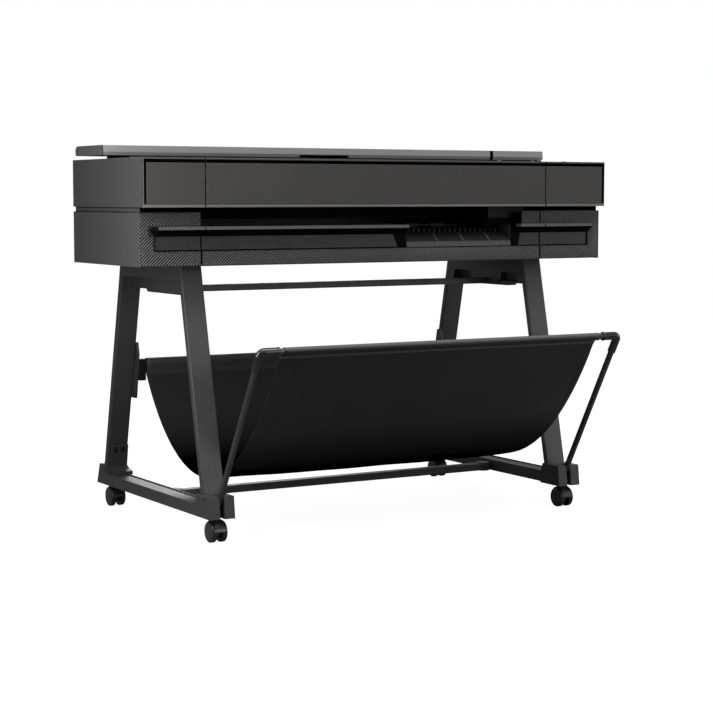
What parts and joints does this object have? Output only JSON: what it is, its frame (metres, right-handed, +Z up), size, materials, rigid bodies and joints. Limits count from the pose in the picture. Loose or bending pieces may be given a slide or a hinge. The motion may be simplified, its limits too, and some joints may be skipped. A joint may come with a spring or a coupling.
{
  "type": "large format plotter",
  "caption": "Wide roll-fed inkjet plotter on an A-frame stand with swivel castors, a hinged front door, a roll cover lid and a cloth catch bin held out by a folding front frame.",
  "frame": {"origin": "on the floor under the middle of the overall box", "axes": "+X to the right across the width, +Y from front to back, +Z up"},
  "size_m": [1.317, 0.8768, 0.926],
  "materials": {
    "cover_plastic": "satin moulded",
    "lid_plastic": "satin moulded",
    "panel_plastic": "matt, warm black",
    "fascia_plastic": "fine diagonal ribs",
    "stand_paint": "satin powder coat",
    "bar_paint": "satin powder coat",
    "bin_cloth": "close plain weave",
    "elbow_plastic": "moulded",
    "castor_plastic": "gloss",
    "steel": "ground",
    "chassis_steel": "coated sheet",
    "inner_plastic": "moulded",
    "roller_rubber": "ground rubber",
    "carriage_plastic": "moulded",
    "belt_rubber": "toothed",
    "paper": "matt",
    "cartridge_plastic": "moulded",
    "button_plastic": "gloss",
    "screen_glass": "smooth cover glass"
  },
  "bodies": {
    "root": {"bin_bar_brackets": "stand_paint", "bin_fabric": "bin_cloth", "bin_rear_bar": "bar_paint", "carriage_belt": "belt_rubber", "carriage_motor": "steel", "carriage_rail": "chassis_steel", "centre_fascia": "fascia_plastic", "chassis": "chassis_steel", "electronics_box": "chassis_steel", "front_panel_left": "panel_plastic", "front_panel_right": "panel_plastic", "ink_cartridges": "cartridge_plastic", "left_fascia": "fascia_plastic", "left_foot_beam": "stand_paint", "left_front_leg": "stand_paint", "left_lower_cover": "cover_plastic", "left_rear_leg": "stand_paint", "left_top_cap": "stand_paint", "left_top_cover": "cover_plastic", "lower_crossbar": "stand_paint", "output_ramp": "inner_plastic", "platen": "inner_plastic", "power_inlet": "inner_plastic", "rear_cover": "cover_plastic", "right_foot_beam": "stand_paint", "right_front_leg": "stand_paint", "right_lower_cover": "cover_plastic", "right_rear_leg": "stand_paint", "right_top_cap": "stand_paint", "right_top_cover": "cover_plastic", "roll_deck": "cover_plastic", "service_station": "inner_plastic", "stand_bolts": "steel", "upper_crossbar": "stand_paint"},
    "bin_frame": {"bin_front_tube": "bar_paint", "bin_left_elbow": "elbow_plastic", "bin_right_elbow": "elbow_plastic", "bin_left_rod": "bar_paint", "bin_right_rod": "bar_paint"},
    "front_door": {"front_door": "cover_plastic", "front_panel_centre": "panel_plastic"},
    "roll_cover": {"roll_cover": "lid_plastic"},
    "control_panel": {"control_panel": "lid_plastic"},
    "ink_door": {"ink_door": "fascia_plastic"},
    "power_button": {"power_button": "button_plastic"},
    "feed_roller": {"feed_roller": "roller_rubber"},
    "pinch_roller": {"pinch_roller": "roller_rubber"},
    "carriage": {"carriage": "carriage_plastic"},
    "drive_pulley": {"drive_pulley": "steel"},
    "idler_pulley": {"idler_pulley": "steel"},
    "roll": {"roll_spindle": "inner_plastic", "paper_roll": "paper"},
    "front_left_castor": {"front_left_castor_hood": "castor_plastic"},
    "front_left_castor_wheel_pair": {"front_left_castor_wheels": "castor_plastic"},
    "front_right_castor": {"front_right_castor_hood": "castor_plastic"},
    "front_right_castor_wheel_pair": {"front_right_castor_wheels": "castor_plastic"},
    "rear_left_castor": {"rear_left_castor_hood": "castor_plastic"},
    "rear_left_castor_wheel_pair": {"rear_left_castor_wheels": "castor_plastic"},
    "rear_right_castor": {"rear_right_castor_hood": "castor_plastic"},
    "rear_right_castor_wheel_pair": {"rear_right_castor_wheels": "castor_plastic"}
  },
  "joints": [
    {"name": "bin_fold", "type": "hinge", "parent": "root", "child": "bin_frame", "pos_m": [0, -0.2186, 0.093], "axis": [1, 0, 0], "range_deg": [-40, 0]},
    {"name": "front_door_hinge", "type": "hinge", "parent": "root", "child": "front_door", "pos_m": [0, 0.0824, 0.886], "axis": [1, 0, 0], "range_deg": [-70, 0]},
    {"name": "roll_cover_hinge", "type": "hinge", "parent": "root", "child": "roll_cover", "pos_m": [0, 0.2574, 0.898], "axis": [1, 0, 0], "range_deg": [-80, 0]},
    {"name": "control_panel_tilt", "type": "hinge", "parent": "root", "child": "control_panel", "pos_m": [0.559, 0.1014, 0.898], "axis": [1, 0, 0], "range_deg": [0, 60]},
    {"name": "ink_door_hinge", "type": "hinge", "parent": "root", "child": "ink_door", "pos_m": [0.56, -0.1316, 0.649], "axis": [1, 0, 0], "range_deg": [0, 90]},
    {"name": "power_button_press", "type": "slide", "parent": "root", "child": "power_button", "axis": [0, 0, -1], "range_m": [0, 0.0015], "stiffness_N_per_m": 400, "springref_m": -0.001},
    {"name": "feed_roller_spin", "type": "hinge", "parent": "root", "child": "feed_roller", "pos_m": [0, 0.0144, 0.711], "axis": [1, 0, 0], "continuous": true},
    {"name": "pinch_roller_spin", "type": "hinge", "parent": "root", "child": "pinch_roller", "pos_m": [0, 0.0144, 0.7293], "axis": [1, 0, 0], "continuous": true},
    {"name": "carriage_slide", "type": "slide", "parent": "root", "child": "carriage", "axis": [1, 0, 0], "range_m": [-0.82, 0]},
    {"name": "drive_pulley_spin", "type": "hinge", "parent": "root", "child": "drive_pulley", "pos_m": [0.45, 0.0394, 0.822], "axis": [0, 1, 0], "continuous": true},
    {"name": "idler_pulley_spin", "type": "hinge", "parent": "root", "child": "idler_pulley", "pos_m": [-0.48, 0.0394, 0.822], "axis": [0, 1, 0], "continuous": true},
    {"name": "roll_spin", "type": "hinge", "parent": "root", "child": "roll", "pos_m": [0, 0.1784, 0.832], "axis": [1, 0, 0], "continuous": true},
    {"name": "front_left_castor_swivel", "type": "hinge", "parent": "root", "child": "front_left_castor", "pos_m": [-0.4995, -0.1956, 0.058], "axis": [0, 0, 1], "continuous": true},
    {"name": "front_left_castor_roll", "type": "hinge", "parent": "front_left_castor", "child": "front_left_castor_wheel_pair", "pos_m": [-0.4995, -0.2036, 0.025], "axis": [1, 0, 0], "continuous": true},
    {"name": "front_right_castor_swivel", "type": "hinge", "parent": "root", "child": "front_right_castor", "pos_m": [0.4995, -0.1956, 0.058], "axis": [0, 0, 1], "continuous": true},
    {"name": "front_right_castor_roll", "type": "hinge", "parent": "front_right_castor", "child": "front_right_castor_wheel_pair", "pos_m": [0.4995, -0.2036, 0.025], "axis": [1, 0, 0], "continuous": true},
    {"name": "rear_left_castor_swivel", "type": "hinge", "parent": "root", "child": "rear_left_castor", "pos_m": [-0.4995, 0.4004, 0.058], "axis": [0, 0, 1], "continuous": true},
    {"name": "rear_left_castor_roll", "type": "hinge", "parent": "rear_left_castor", "child": "rear_left_castor_wheel_pair", "pos_m": [-0.4995, 0.3924, 0.025], "axis": [1, 0, 0], "continuous": true},
    {"name": "rear_right_castor_swivel", "type": "hinge", "parent": "root", "child": "rear_right_castor", "pos_m": [0.4995, 0.4004, 0.058], "axis": [0, 0, 1], "continuous": true},
    {"name": "rear_right_castor_roll", "type": "hinge", "parent": "rear_right_castor", "child": "rear_right_castor_wheel_pair", "pos_m": [0.4995, 0.3924, 0.025], "axis": [1, 0, 0], "continuous": true}
  ],
  "couplings": [
    {"joint": "pinch_roller_spin", "follows": "feed_roller_spin", "ratio": -2},
    {"joint": "drive_pulley_spin", "follows": "carriage_slide", "rad_per_m": -93.023},
    {"joint": "idler_pulley_spin", "follows": "carriage_slide", "rad_per_m": -93.023}
  ]
}
